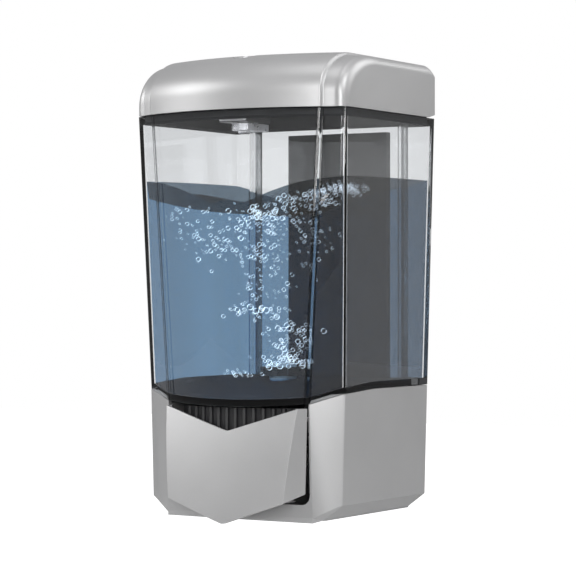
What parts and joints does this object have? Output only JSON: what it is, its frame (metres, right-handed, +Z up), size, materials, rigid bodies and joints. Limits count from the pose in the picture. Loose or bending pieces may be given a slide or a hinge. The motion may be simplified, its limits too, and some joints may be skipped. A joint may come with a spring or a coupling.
{
  "type": "wall mounted soap dispenser",
  "caption": "Wall mounted manual soap dispenser with a clear tank, a hinged lockable cover, and a push button that works a piston pump in the base.",
  "frame": {"origin": "on the back face of the wall bracket, on the centre line, 100 mm above the underside of the base", "axes": "+Z up along the wall, +Y into the wall, -Y is the front with the push button, +X to the right as seen from the front"},
  "size_m": [0.11, 0.0953, 0.2068],
  "materials": {
    "silver_plastic": "satin metallic silver paint on moulded plastic",
    "clear_tank": "clear smoke-grey moulded plastic",
    "blue_liquid": "clear blue liquid soap",
    "dark_grey_plastic": "fine textured moulded plastic",
    "black_plastic": "satin moulded plastic",
    "white_plastic": "smooth moulded plastic",
    "black_rubber": "moulded rubber",
    "silicone": "translucent silicone",
    "steel": "plain turned steel"
  },
  "bodies": {
    "dispenser": {"wall_bracket": "dark_grey_plastic", "tank": "clear_tank", "liquid_soap": "blue_liquid", "base_housing": "silver_plastic", "base_bottom_plate": "silver_plastic", "plate_screw_1": "steel", "plate_screw_2": "steel", "plate_screw_3": "steel", "plate_screw_4": "steel", "pump_carrier": "black_plastic", "carrier_screw_left": "steel", "carrier_screw_right": "steel", "pump_body": "white_plastic", "neck_nut": "black_plastic", "tank_gasket": "black_rubber", "valve_seat": "white_plastic", "nozzle_collar": "black_plastic", "outlet_nozzle": "silicone", "return_spring": "steel", "button_pin_left": "steel", "button_pin_right": "steel"},
    "cover": {"top_cover": "silver_plastic", "latch_block": "black_plastic", "cover_pin_left": "steel", "cover_pin_right": "steel"},
    "lock": {"lock_barrel": "steel", "lock_cam": "steel", "cam_screw": "steel"},
    "button": {"push_button": "silver_plastic"},
    "piston": {"pump_piston": "white_plastic", "piston_ring": "black_rubber"},
    "inlet_ball": {"inlet_ball": "steel"}
  },
  "joints": [
    {"name": "cover_hinge", "type": "hinge", "parent": "dispenser", "child": "cover", "pos_m": [0, -0.0061, 0.0988], "axis": [-1, 0, 0], "range_deg": [0, 60]},
    {"name": "lock_turn", "type": "hinge", "parent": "cover", "child": "lock", "pos_m": [0, -0.076, 0.0804], "axis": [0, 0, 1], "range_deg": [0, 180]},
    {"name": "button_press", "type": "hinge", "parent": "dispenser", "child": "button", "pos_m": [0, -0.0785, -0.0545], "axis": [1, 0, 0], "range_deg": [0, 12], "stiffness_Nm_per_rad": 1.2, "springref_deg": -6.88, "deforming": ["return_spring"]},
    {"name": "piston_slide", "type": "slide", "parent": "dispenser", "child": "piston", "axis": [0, 1, 0], "range_m": [0, 0.0042]},
    {"name": "inlet_ball_lift", "type": "slide", "parent": "dispenser", "child": "inlet_ball", "axis": [0, 0, 1], "range_m": [0, 0.002]}
  ],
  "couplings": [
    {"joint": "piston_slide", "follows": "button_press", "m_per_rad": 0.0195}
  ]
}
